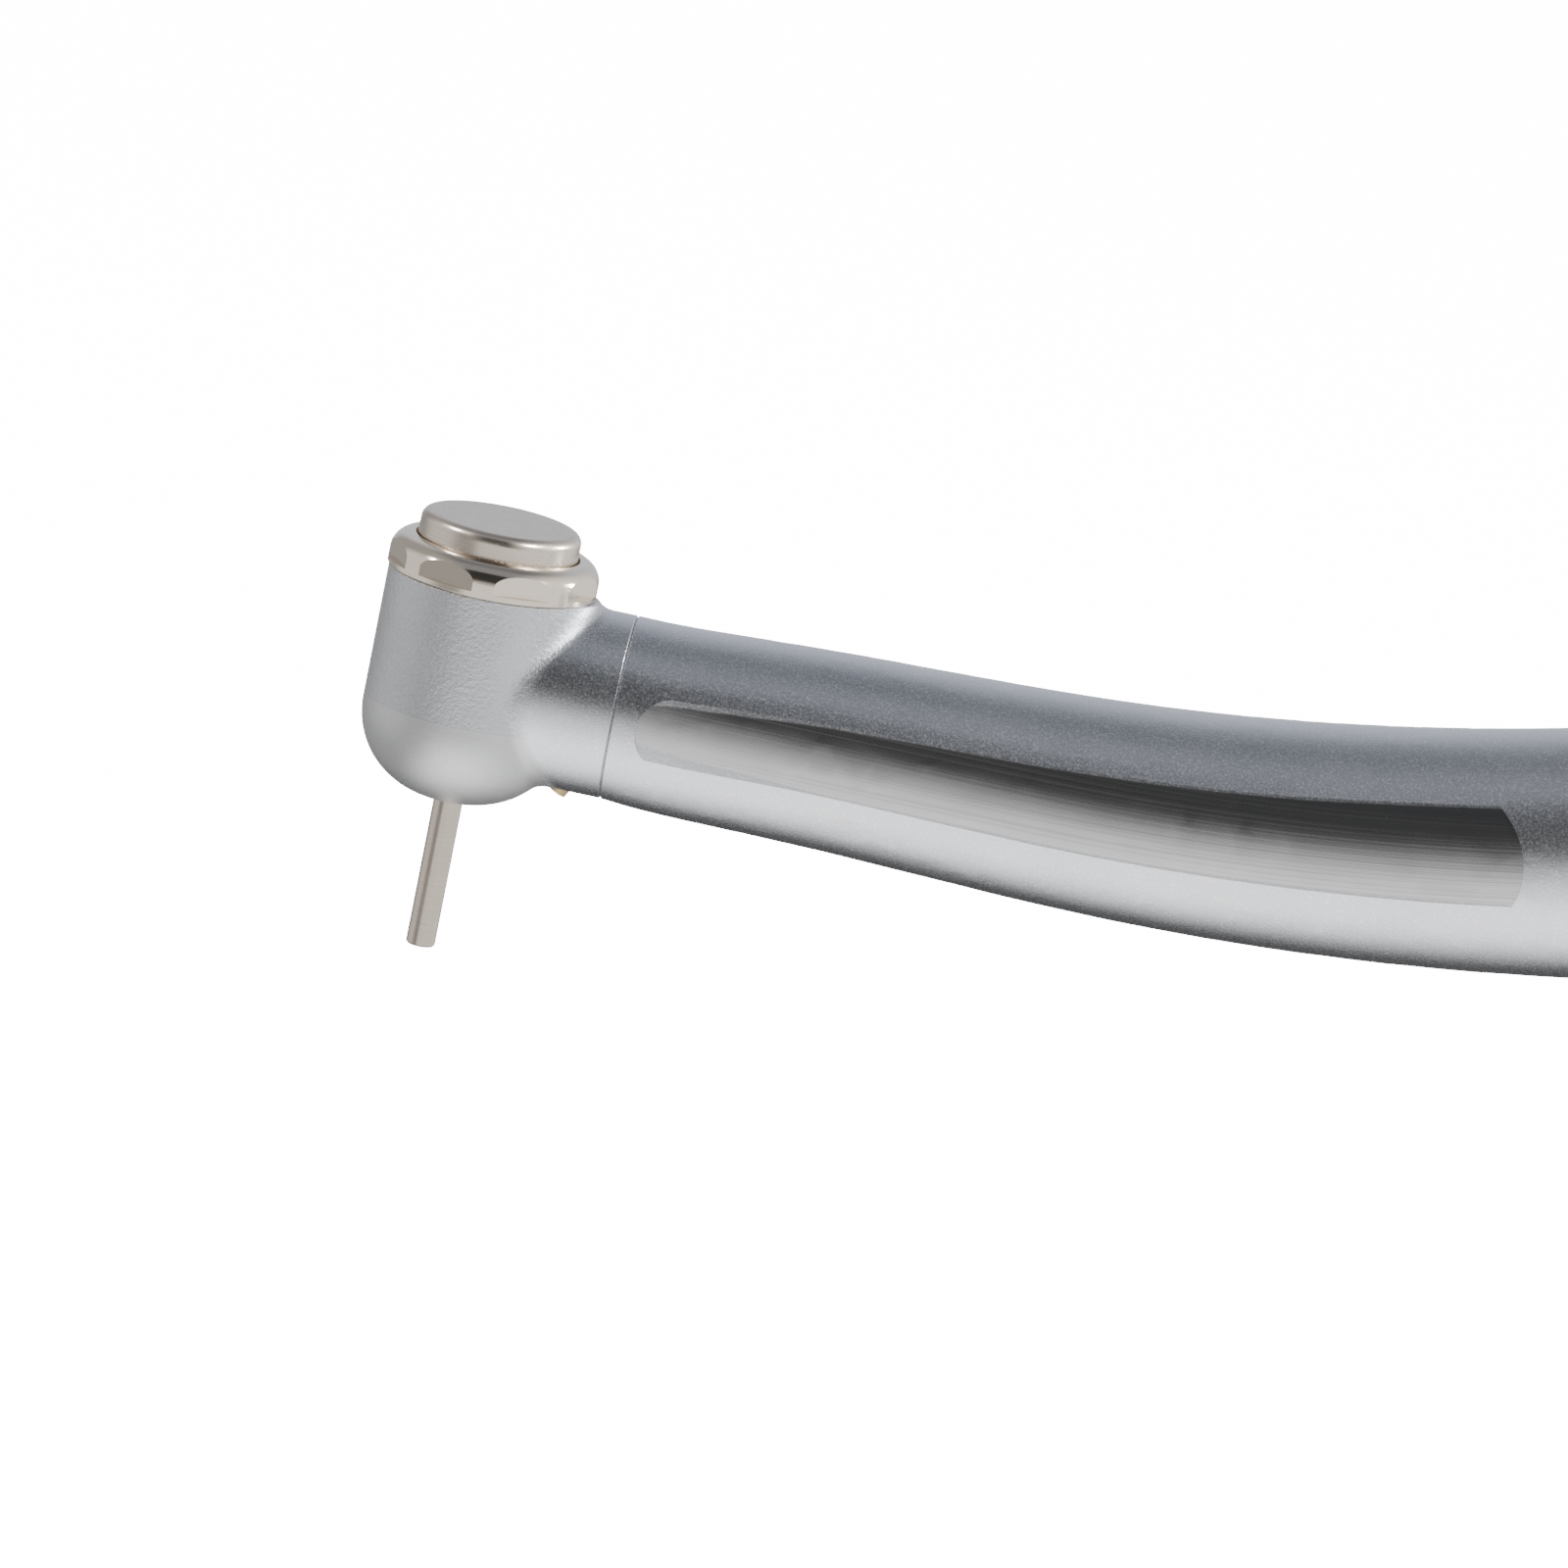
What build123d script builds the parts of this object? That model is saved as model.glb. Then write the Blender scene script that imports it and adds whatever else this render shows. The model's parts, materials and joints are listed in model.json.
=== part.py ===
from build123d import *
from math import cos, pi, radians, sin
import os

# High speed air-turbine dental handpiece with a push-button chuck, a curved handle and a
# four-hole hose connector. Millimetres and degrees.
#
# Frame: the origin is the centre of the rear connector face. +Z runs along the spindle, away
# from the bur. +X points from the head towards the hose. XZ is the plane of symmetry.
# Heights inside the head are counted from the seam under the cap ring, up being positive.
# Distances along the handle are counted from the spindle axis.

# ---- General fits ----
gap = 0.02  # between pieces that seat in or on each other
turning_gap = 0.05  # between pieces that slide or turn in each other
thread_gap = 0.05  # between plain cylinders that stand for a thread pair

# ---- Ball bearings, two alike ----
bearing_r = 3.175
bearing_bore_r = 1.5875
bearing_w = 2.38
ball_r = 0.5
ball_count = 7
ball_play = 0.02
land_depth = 0.185  # how deep the ball track lies in each ring
cage_h = 1.50
shield_t = 0.12
washer_t = 0.20
upper_o_ring_rise = 1.43  # from the upper bearing's lower face

# ---- Cap and push button ----
o_ring_space = 0.70  # radial space for the O-ring around a bearing
cap_skirt_wall = 0.925
cap_skirt_depth = 2.6
cap_floor_t = 0.60
cap_floor_rise = 0.10  # the cap floor's top above the seam
cap_floor_hole_r = 1.90
cap_rim_r = 5.00
cap_rim_wall = 0.30
cap_rim_h = 0.95
cap_overhang = 0.11  # how far the cap ring stands out past the head
cap_lip_t = 0.55
cap_lip_edge_r = 0.10
cap_seam_gap = 0.05
flat_count = 8
flat_depth = 0.24
flat_rim_h = 0.36
button_r = 4.37
button_rise = 1.38
button_edge_r = 0.55
button_top_t = 0.60
button_wall = 0.70
button_stroke = 0.75
button_flange_t = 0.40
button_floor_gap = 0.10  # left under the flange when the button is down
button_hub_r = 1.30
button_hub_lift = 0.20  # how far the hub ends above the flange
pusher_r = 0.70
pusher_seat_t = 0.30  # metal left above the pusher in the button
pusher_chamfer = 0.15
release_gap = 0.40  # free travel before the button reaches the chuck plunger
spring_wire_r = 0.16
spring_coil_r = 2.35
spring_turns = 3.5

# ---- Head ----
head_wall = 0.75
head_straight_h = 7.60
dome_centre_r = 1.00
head_floor_t = 1.95  # solid metal under the lower bearing
chamber_wall = 1.20
bearing_pocket_gap = 0.075
o_ring_groove_w = 1.0
spindle_exit_gap = 0.16
neck_r = 5.03
neck_below_seam = 0.38
neck_length = 8.05  # from the spindle axis to the seam with the handle
neck_fillet_r = 1.2
spigot_r = 4.00
spigot_length = 7.0
spigot_end_gap = 0.5
spigot_seal_depth = 0.5
spigot_seal_w = 1.0
spigot_seal_at = 1.6
seam_chamfer = 0.12
waste = 2.0  # how far a cutting shape reaches past the metal

# ---- Rotor, chuck and bur ----
impeller_gap = 0.60
impeller_tip_gap = 0.25
bucket_count = 9
bucket_r = 1.10
bucket_inset = 0.37
spindle_top_rise = 0.30  # above the upper bearing
spindle_bore_r = 1.05
spindle_chamfer = 0.20
plunger_length = 1.90
plunger_nose = 0.5
release_travel = 0.45
collet_drop = 0.16  # below the plunger's lowest place
collet_slot_w = 0.25
collet_slot_length = 4.5
collet_seat_h = 0.60  # from the spindle's lower end to the collet
bur_r = 0.80
bur_grip_gap = 0.01
bur_reach = 8.40  # exposed below the head
bur_chamfer = 0.10
bur_mark_at = 1.3
bur_mark_w = 0.06
bur_top_gap = 0.20  # below the collet's upper end

# ---- Handle ----
handle_straight = 30.2  # from the spindle axis to the start of the bend
bend_radius = 148.5
bend_angle = 19.0
tail_length = 46.0
bend_start_r = 5.70
grip_r = 7.25
taper_end = 75.0
loft_past_bend = 4.0
handle_wall = 0.90
facet_front = 9.4
facet_rear = 57.3
facet_depth_front = 0.19
facet_depth_rear = 0.30
facet_crown_r = 13.0
facet_tilt_front = 5.0  # degrees that the facet faces up
facet_tilt_rear = 10.5
facet_nose_r = 2.0  # rounded front end, and its centre above the centreline
facet_nose_up = 0.05
facet_end_r = 4.3  # rounded rear end, and its centre above the centreline
facet_end_up = 0.5
ring_count = 14
ring_pitch = 1.35
ring_r = 0.35
ring_depth = 0.22
rings_from_end = 37.0
flute_count = 36
flute_r = 0.32
flute_depth = 0.22
flute_band = (16.0, 10.5)  # from the rear face
handle_end_chamfer = 0.6

# ---- Connector at the rear ----
connector_thread_r = 5.50
connector_thread_length = 6.5
thread_pitch = 0.75
thread_depth = 0.40
thread_land = 0.30
thread_end_land = 0.40
thread_chamfer = 0.30
connector_flange_r = 6.40
connector_flange_t = 1.0
connector_plug_r = 5.60
connector_plug_length = 12.0
connector_seal_depth = 0.6
connector_seal_w = 1.2
connector_hole_length = 5.5
exhaust_hole_r = 1.50
exhaust_r = 1.20

# ---- Tubes inside the handle: offsets from the centreline, radii, and radius of the hose hole ----
drive_tube = {"side": 1.8, "up": 0.5, "outer": 1.25, "inner": 0.95, "hole": 1.30}
water_tube = {"side": 1.1, "up": -2.2, "outer": 0.75, "inner": 0.50, "hole": 0.80}
chip_tube = {"side": -1.1, "up": -2.2, "outer": 0.75, "inner": 0.50, "hole": 0.80}
tubes = (drive_tube, water_tube, chip_tube)
exhaust_side = -1.8
exhaust_up = 0.5
tube_socket = 4.0
clip_at = 50.0
clip_t = 2.0
clip_gap = 0.20
clip_vent_r = 1.0
clip_vent_at = 3.9
clip_vent_count = 8
nozzle_r = 0.70
nozzle_bore_r = 0.20
nozzle_length = 2.2
nozzle_at = 5.6
nozzle_stand_out = 0.15
spray_link_r = 0.30  # from the nozzle up to the cross hole
cross_hole_r = 0.40  # from the water channel to the chip-air channel

# ---- Heights and radii that follow ----
cap_skirt_in_r = bearing_r + o_ring_space
cap_thread_r = cap_skirt_in_r + cap_skirt_wall
head_r = cap_thread_r + thread_gap + head_wall
dome_r = head_r - dome_centre_r
head_bottom = -(head_straight_h + dome_r)
chamber_r = head_r - chamber_wall
cap_r = head_r + cap_overhang
cap_cavity_r = cap_rim_r - cap_rim_wall
flange_bottom = cap_floor_rise + button_stroke + button_floor_gap
flange_top = flange_bottom + button_flange_t
lip_bottom = flange_top + turning_gap
cap_h = lip_bottom + cap_lip_t
button_top = cap_h + button_rise
button_ceiling = button_top - button_top_t
lip_r = button_r + 2 * turning_gap
cap_crown_r = cap_r - lip_r - cap_lip_edge_r - gap
flange_r = cap_cavity_r - turning_gap - gap
cap_floor_bottom = cap_floor_rise - cap_floor_t
washer_top = cap_floor_bottom - gap
upper_top = washer_top - washer_t - gap
upper_bottom = upper_top - bearing_w
lower_bottom = head_bottom + head_floor_t
lower_top = lower_bottom + bearing_w
spindle_top = upper_top + spindle_top_rise
spindle_bottom = head_bottom + gap
plunger_bottom = spindle_top - plunger_length
collet_top = plunger_bottom - release_travel - collet_drop
collet_bottom = spindle_bottom + collet_seat_h
bur_top = collet_top - bur_top_gap
bur_bottom = head_bottom - bur_reach
o_ring_section_r = o_ring_space / 2 - gap / 2
ball_pitch_r = (bearing_r + bearing_bore_r) / 2
track_r = ball_r + ball_play
inner_ring_r = ball_pitch_r - track_r + land_depth
outer_ring_r = ball_pitch_r + track_r - land_depth
pocket_r = bearing_r + bearing_pocket_gap
exit_r = bearing_bore_r + spindle_exit_gap

# ---- Where the head and the handle lie ----
bend_run = bend_radius * radians(bend_angle)
total_run = handle_straight + bend_run + tail_length
neck_drop = neck_r + neck_below_seam
tail_dir = Vector(cos(radians(bend_angle)), 0, sin(radians(bend_angle)))
head_x = -(handle_straight + bend_radius * tail_dir.Z + tail_length * tail_dir.X)
neck_z = -(bend_radius * (1 - tail_dir.X) + tail_length * tail_dir.Z)
seam_z = neck_z + neck_drop
spindle_axis = Axis((head_x, 0, seam_z), (0, 0, 1))
tail_axis = Axis((0, 0, 0), tuple(tail_dir))
head_side = Plane(origin=(head_x, 0, seam_z), x_dir=(1, 0, 0), z_dir=(0, -1, 0))
tail_side = Plane(origin=(0, 0, 0), x_dir=tuple(tail_dir), z_dir=(0, -1, 0))


def head_level(height):
    """Plane across the spindle at a height above the cap seam."""
    return Plane(origin=(head_x, 0, seam_z + height), x_dir=(1, 0, 0), z_dir=(0, 0, 1))


def station(run):
    """Plane square to the handle's centreline: local x is +Y, local y is up."""
    if run <= handle_straight:
        angle = 0.0
        x = run
        z = 0.0
    elif run <= handle_straight + bend_run:
        angle = (run - handle_straight) / bend_radius
        x = handle_straight + bend_radius * sin(angle)
        z = bend_radius * (1 - cos(angle))
    else:
        angle = radians(bend_angle)
        past = run - handle_straight - bend_run
        x = handle_straight + bend_radius * sin(angle) + past * cos(angle)
        z = bend_radius * (1 - cos(angle)) + past * sin(angle)
    origin = (head_x + x, 0, neck_z + z)
    return Plane(origin=origin, x_dir=(0, 1, 0), z_dir=(cos(angle), 0, sin(angle)))


def station_point(run, side, up):
    """Point beside the centreline."""
    return station(run).from_local_coords(Vector(side, up, 0))


def handle_radius(run):
    """Outer radius of the handle: two gentle cones, then the even grip."""
    if run <= handle_straight:
        share = (run - neck_length) / (handle_straight - neck_length)
        return neck_r + share * (bend_start_r - neck_r)
    share = min(1.0, (run - handle_straight) / (taper_end - handle_straight))
    return bend_start_r + share * (grip_r - bend_start_r)


def write(piece, name):
    """Label a finished piece and write its STEP file."""
    piece.part.label = name
    export_step(piece.part, f"parts/{name}.step")


def revolved(plane, axis, *outlines):
    """Body of revolution from closed outlines given as radius and height, or run and radius."""
    with BuildPart() as body:
        with BuildSketch(plane):
            for outline in outlines:
                with BuildLine():
                    Polyline(*outline, close=True)
                make_face()
        revolve(axis=axis)
    return body


def tube_band(inner, outer, low, high):
    """Rectangular outline of a plain ring."""
    return [(inner, low), (outer, low), (outer, high), (inner, high)]


def o_ring(name, plane, axis, place, section_r):
    """Rubber ring of round section."""
    with BuildPart() as ring:
        with BuildSketch(plane):
            with Locations(place):
                Circle(section_r)
        revolve(axis=axis)
    write(ring, name)


os.makedirs("parts", exist_ok=True)


# ---- Head housing: domed can, neck, spigot and air and water channels ----
with BuildPart() as head_housing:
    with BuildSketch(head_side):
        with BuildLine():
            Polyline(
                (0, head_bottom),
                (0, waste),
                (head_r, waste),
                (head_r, -head_straight_h),
            )
            CenterArc((dome_centre_r, -head_straight_h), dome_r, 0, -90)
            Line((dome_centre_r, head_bottom), (0, head_bottom))
        make_face()
    revolve(axis=spindle_axis)
    with BuildSketch(station(0)):
        Circle(neck_r)
    extrude(amount=neck_length)
    joint_edges = head_housing.edges(Select.LAST).filter_by(GeomType.CIRCLE, reverse=True)
    fillet(joint_edges.filter_by(GeomType.LINE, reverse=True), neck_fillet_r)
    chamfer(head_housing.edges().group_by(Axis.X)[-1], seam_chamfer / 2)
    with BuildSketch(head_level(0)):
        Circle(2 * head_r)
    extrude(amount=waste, mode=Mode.SUBTRACT)
    chamfer(head_housing.edges().group_by(Axis.Z)[-1], seam_chamfer / 2)
    with BuildSketch(station(neck_length)):
        Circle(spigot_r)
    extrude(amount=spigot_length)
    seal_at = neck_length + spigot_seal_at
    with BuildSketch(station(seal_at)):
        Circle(spigot_r + gap)
        Circle(spigot_r - spigot_seal_depth, mode=Mode.SUBTRACT)
    extrude(amount=spigot_seal_w, mode=Mode.SUBTRACT)
    # The bores down the spindle axis, widest at the cap thread
    groove_mid = lower_bottom + bearing_w / 2
    skirt_low = -cap_skirt_depth - 2 * gap
    with BuildSketch(head_side):
        with BuildLine():
            Polyline(
                (0, waste),
                (cap_thread_r + thread_gap, waste),
                (cap_thread_r + thread_gap, skirt_low),
                (chamber_r, skirt_low),
                (chamber_r, lower_top + gap),
                (pocket_r, lower_top + gap),
                (pocket_r, groove_mid + o_ring_groove_w / 2),
                (cap_skirt_in_r, groove_mid + o_ring_groove_w / 2),
                (cap_skirt_in_r, groove_mid - o_ring_groove_w / 2),
                (pocket_r, groove_mid - o_ring_groove_w / 2),
                (pocket_r, lower_bottom - gap),
                (exit_r, lower_bottom - gap),
                (exit_r, head_bottom - waste),
                (0, head_bottom - waste),
                close=True,
            )
        make_face()
    revolve(axis=spindle_axis, mode=Mode.SUBTRACT)
    # Drive air and exhaust channels between the turbine chamber and the spigot's end
    spigot_end = neck_length + spigot_length
    with BuildSketch(station(chamber_r / 2)):
        with Locations((drive_tube["side"], drive_tube["up"])):
            Circle(drive_tube["inner"])
        with Locations((exhaust_side, exhaust_up)):
            Circle(exhaust_r)
    extrude(amount=spigot_end, mode=Mode.SUBTRACT)
    # Water and chip-air channels, joined by a cross hole above the spray nozzle
    cross_run = nozzle_at + nozzle_length / 2
    cross_up = water_tube["up"]
    with BuildSketch(station(cross_run)):
        with Locations((water_tube["side"], cross_up), (chip_tube["side"], cross_up)):
            Circle(water_tube["inner"])
    extrude(amount=spigot_end, mode=Mode.SUBTRACT)
    cross_origin = station_point(cross_run + water_tube["inner"], 0, cross_up)
    with BuildSketch(Plane(origin=cross_origin, z_dir=(0, 1, 0))):
        Circle(cross_hole_r)
    extrude(amount=water_tube["side"], both=True, mode=Mode.SUBTRACT)
    # Sockets in the spigot's end for the three tubes
    with BuildSketch(station(spigot_end - tube_socket)):
        for tube in tubes:
            with Locations((tube["side"], tube["up"])):
                Circle(tube["outer"] + gap)
    extrude(amount=tube_socket, mode=Mode.SUBTRACT)

# The spray nozzle points from the neck's underside at the bur's tip
nozzle_mouth = Vector(head_x + nozzle_at, 0, neck_z - neck_r)
bur_point = Vector(head_x, 0, seam_z + bur_bottom)
nozzle_dir = (bur_point - nozzle_mouth).normalized()
nozzle_face = Plane(origin=nozzle_mouth + nozzle_dir * nozzle_stand_out, z_dir=tuple(nozzle_dir))
with head_housing:
    with BuildSketch(nozzle_face):
        Circle(nozzle_r + gap)
    extrude(amount=-(nozzle_length + gap), mode=Mode.SUBTRACT)
    with BuildSketch(nozzle_face):
        Circle(spray_link_r)
    extrude(amount=(cross_origin.Z - nozzle_face.origin.Z) / nozzle_dir.Z, mode=Mode.SUBTRACT)
write(head_housing, "head_housing")

with BuildPart() as spray_nozzle:
    with BuildSketch(nozzle_face):
        Circle(nozzle_r)
        Circle(nozzle_bore_r, mode=Mode.SUBTRACT)
    extrude(amount=-nozzle_length)
write(spray_nozzle, "spray_nozzle")


# ---- Cap: threaded body and polished ring with wrench flats ----
cap_body = revolved(
    head_side,
    spindle_axis,
    [
        (cap_floor_hole_r, cap_floor_bottom),
        (cap_skirt_in_r, cap_floor_bottom),
        (cap_skirt_in_r, -cap_skirt_depth),
        (cap_thread_r, -cap_skirt_depth),
        (cap_thread_r, gap),
        (cap_rim_r, gap),
        (cap_rim_r, cap_rim_h),
        (cap_cavity_r, cap_rim_h),
        (cap_cavity_r, cap_floor_rise),
        (cap_floor_hole_r, cap_floor_rise),
    ],
)
write(cap_body, "cap_body")

with BuildPart() as cap_ring:
    with BuildSketch(head_side):
        with BuildLine():
            Polyline(
                (cap_r - cap_crown_r, cap_h),
                (lip_r, cap_h),
                (lip_r, lip_bottom),
                (cap_cavity_r, lip_bottom),
                (cap_cavity_r, cap_rim_h + gap),
                (cap_rim_r + gap, cap_rim_h + gap),
                (cap_rim_r + gap, cap_seam_gap),
                (cap_r, cap_seam_gap),
                (cap_r, cap_h - cap_crown_r),
            )
            CenterArc((cap_r - cap_crown_r, cap_h - cap_crown_r), cap_crown_r, 0, 90)
        make_face()
    revolve(axis=spindle_axis)
    fillet(cap_ring.edges().group_by(Axis.Z)[-1].sort_by(SortBy.RADIUS)[0], cap_lip_edge_r)
    flat_reach = cap_r - flat_depth
    with BuildSketch(head_level(flat_rim_h)):
        with PolarLocations(flat_reach + waste / 2, flat_count, start_angle=180 / flat_count):
            Rectangle(waste, 2 * cap_r * sin(pi / flat_count))
    extrude(amount=cap_h, mode=Mode.SUBTRACT)
    chamfer(cap_ring.edges().group_by(Axis.Z)[0].sort_by(SortBy.RADIUS)[-1], seam_chamfer / 2)
write(cap_ring, "cap_ring")


# ---- Push button, its pusher pin and its spring ----
pusher_bottom = spindle_top + release_gap
pusher_top = button_ceiling - pusher_seat_t - gap
with BuildPart() as push_button:
    with BuildSketch(head_side):
        with BuildLine():
            Polyline(
                (0, button_top),
                (button_r, button_top),
                (button_r, flange_top),
                (flange_r, flange_top),
                (flange_r, flange_bottom),
                (button_r - button_wall, flange_bottom),
                (button_r - button_wall, button_ceiling),
                (button_hub_r, button_ceiling),
                (button_hub_r, flange_bottom + button_hub_lift),
                (0, flange_bottom + button_hub_lift),
                close=True,
            )
        make_face()
    revolve(axis=spindle_axis)
    fillet(push_button.edges().group_by(Axis.Z)[-1], button_edge_r)
    with BuildSketch(head_level(flange_bottom)):
        Circle(pusher_r + gap)
    extrude(amount=pusher_top + gap - flange_bottom, mode=Mode.SUBTRACT)
write(push_button, "push_button")

with BuildPart() as button_pusher:
    with BuildSketch(head_level(pusher_bottom)):
        Circle(pusher_r)
    extrude(amount=pusher_top - pusher_bottom)
    chamfer(button_pusher.edges().group_by(Axis.Z)[0], pusher_chamfer)
write(button_pusher, "button_pusher")

spring_low = cap_floor_rise + spring_wire_r + gap
spring_h = button_ceiling - cap_floor_rise - 2 * (spring_wire_r + gap)
with BuildPart() as button_spring:
    with BuildLine(head_level(spring_low)) as coil:
        Helix(pitch=spring_h / spring_turns, height=spring_h, radius=spring_coil_r)
    with BuildSketch(Plane(origin=coil.line @ 0, z_dir=coil.line % 0)):
        Circle(spring_wire_r)
    sweep(path=coil.line)
write(button_spring, "button_spring")


# ---- Ball bearings ----
def ball_bearing(side, low, shield_side):
    """One bearing: two rings, caged balls and a shield on the side that faces away."""
    middle = low + bearing_w / 2
    high = low + bearing_w
    with BuildPart() as outer_ring:
        with BuildSketch(head_side):
            with BuildLine():
                Polyline(*tube_band(outer_ring_r, bearing_r, low, high), close=True)
            make_face()
            with Locations((ball_pitch_r, middle)):
                Circle(track_r, mode=Mode.SUBTRACT)
        revolve(axis=spindle_axis)
    write(outer_ring, f"{side}_outer_ring")
    with BuildPart() as inner_ring:
        with BuildSketch(head_side):
            with BuildLine():
                Polyline(*tube_band(bearing_bore_r + gap / 2, inner_ring_r, low, high), close=True)
            make_face()
            with Locations((ball_pitch_r, middle)):
                Circle(track_r, mode=Mode.SUBTRACT)
        revolve(axis=spindle_axis)
    write(inner_ring, f"{side}_inner_ring")
    with BuildPart() as balls:
        with Locations(head_level(middle)):
            with PolarLocations(ball_pitch_r, ball_count):
                Sphere(ball_r)
    write(balls, f"{side}_balls")
    with BuildPart() as cage:
        with BuildSketch(head_level(middle - cage_h / 2)):
            Circle(outer_ring_r - turning_gap)
            Circle(inner_ring_r + turning_gap, mode=Mode.SUBTRACT)
        extrude(amount=cage_h)
        with Locations(head_level(middle)):
            with PolarLocations(ball_pitch_r, ball_count):
                Cylinder(track_r, 4 * ball_r, rotation=(0, 90, 0), mode=Mode.SUBTRACT)
    write(cage, f"{side}_cage")
    shield_low = middle + shield_side * (bearing_w / 2 - shield_t) - shield_t / 2
    shield_in = inner_ring_r + turning_gap
    shield = revolved(
        head_side,
        spindle_axis,
        tube_band(shield_in, outer_ring_r - gap, shield_low, shield_low + shield_t),
    )
    write(shield, f"{side}_shield")


ball_bearing("upper", upper_bottom, 1)
ball_bearing("lower", lower_bottom, -1)
o_ring_mid_r = bearing_r + o_ring_space / 2
for side, height in (("upper", upper_bottom + upper_o_ring_rise), ("lower", groove_mid)):
    o_ring(f"{side}_o_ring", head_side, spindle_axis, (o_ring_mid_r, height), o_ring_section_r)

preload_washer = revolved(
    head_side,
    spindle_axis,
    tube_band(outer_ring_r, bearing_r, washer_top - washer_t, washer_top),
)
write(preload_washer, "preload_washer")


# ---- Rotor: spindle, impeller, collet ----
with BuildPart() as spindle_shaft:
    with BuildSketch(head_level(spindle_bottom)):
        Circle(bearing_bore_r)
        Circle(spindle_bore_r, mode=Mode.SUBTRACT)
    extrude(amount=spindle_top - spindle_bottom)
    with BuildSketch(head_level(spindle_bottom)):
        Circle(spindle_bore_r)
        Circle(bur_r + 2 * turning_gap, mode=Mode.SUBTRACT)
    extrude(amount=collet_bottom - spindle_bottom - gap)
    chamfer(spindle_shaft.edges().group_by(Axis.Z)[0].sort_by(SortBy.RADIUS)[-1], spindle_chamfer)
write(spindle_shaft, "spindle_shaft")

impeller_low = lower_top + impeller_gap
impeller_h = upper_bottom - impeller_gap - impeller_low
impeller_r = chamber_r - impeller_tip_gap
with BuildPart() as impeller:
    with BuildSketch(head_level(impeller_low)):
        Circle(impeller_r)
        with PolarLocations(impeller_r - bucket_inset, bucket_count):
            Circle(bucket_r, mode=Mode.SUBTRACT)
        Circle(bearing_bore_r + gap / 2, mode=Mode.SUBTRACT)
    extrude(amount=impeller_h)
    with BuildSketch(head_level(impeller_low - impeller_gap + gap)):
        Circle(inner_ring_r)
        Circle(bearing_bore_r + gap / 2, mode=Mode.SUBTRACT)
    extrude(amount=impeller_h + 2 * impeller_gap - 2 * gap)
write(impeller, "impeller")

with BuildPart() as chuck_collet:
    with BuildSketch(head_level(collet_bottom)):
        Circle(spindle_bore_r - gap / 2)
        Circle(bur_r + bur_grip_gap, mode=Mode.SUBTRACT)
    extrude(amount=collet_top - collet_bottom)
    with BuildSketch(head_level(collet_top - collet_slot_length)):
        with PolarLocations(spindle_bore_r, 3):
            Rectangle(spindle_bore_r, collet_slot_w)
    extrude(amount=collet_slot_length, mode=Mode.SUBTRACT)
write(chuck_collet, "chuck_collet")

release_plunger = revolved(
    head_side,
    spindle_axis,
    [
        (0, plunger_bottom),
        (spindle_bore_r / 2, plunger_bottom),
        (spindle_bore_r - turning_gap, plunger_bottom + plunger_nose),
        (spindle_bore_r - turning_gap, spindle_top),
        (0, spindle_top),
    ],
)
write(release_plunger, "release_plunger")

with BuildPart() as test_bur:
    with BuildSketch(head_level(bur_bottom)):
        Circle(bur_r)
    extrude(amount=bur_top - bur_bottom)
    chamfer(test_bur.edges().group_by(Axis.Z)[0], bur_chamfer)
    chamfer(test_bur.edges().group_by(Axis.Z)[-1], bur_chamfer)
    with BuildSketch(head_level(bur_bottom + bur_mark_at)):
        Circle(bur_r + gap)
        Circle(bur_r - gap, mode=Mode.SUBTRACT)
    extrude(amount=bur_mark_w, mode=Mode.SUBTRACT)
write(test_bur, "test_bur")


# ---- Handle shell: curved tapering tube with two long side facets and a ringed grip ----
def even_runs(first, last):
    """Evenly spaced runs along the handle for a loft."""
    steps = 8
    return [first + (last - first) * k / steps for k in range(steps + 1)]


shell_end = -(connector_thread_length + connector_flange_t)
loft_end = handle_straight + bend_run + loft_past_bend
tail_start = loft_end - total_run
socket_end = neck_length + spigot_length + spigot_end_gap
plug_start = shell_end - connector_plug_length


def facet_cutter(side):
    """Waste outside one ground facet: a gently crowned face, tilted slightly up, with rounded ends."""
    with BuildPart() as cutter:
        for run in even_runs(facet_front - waste, facet_rear + waste):
            share = (run - facet_front) / (facet_rear - facet_front)
            tilt = radians(facet_tilt_front + share * (facet_tilt_rear - facet_tilt_front))
            depth = facet_depth_front + share * (facet_depth_rear - facet_depth_front)
            square = station(run)
            outward = square.x_dir * side * cos(tilt) + square.y_dir * sin(tilt)
            face = handle_radius(run) - depth
            half = handle_radius(run) * sin(pi / 4)
            edge = face - facet_crown_r + (facet_crown_r**2 - half**2) ** 0.5
            with BuildSketch(Plane(origin=square.origin, x_dir=outward, z_dir=square.z_dir)):
                with BuildLine():
                    ThreePointArc((edge, -half), (face, 0), (edge, half))
                    Polyline((edge, half), (face + waste, half), (face + waste, -half), (edge, -half))
                make_face()
        loft()
        front = station_point(facet_front + facet_nose_r, 0, facet_nose_up)
        rear = station_point(facet_rear - facet_end_r, 0, facet_end_up)
        with BuildSketch(Plane.XZ):
            with Locations((front.X, front.Z)):
                Circle(facet_nose_r)
            with Locations((rear.X, rear.Z)):
                Circle(facet_end_r)
            make_hull()
        extrude(amount=-side * (grip_r + waste), mode=Mode.INTERSECT)
    return cutter


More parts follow.
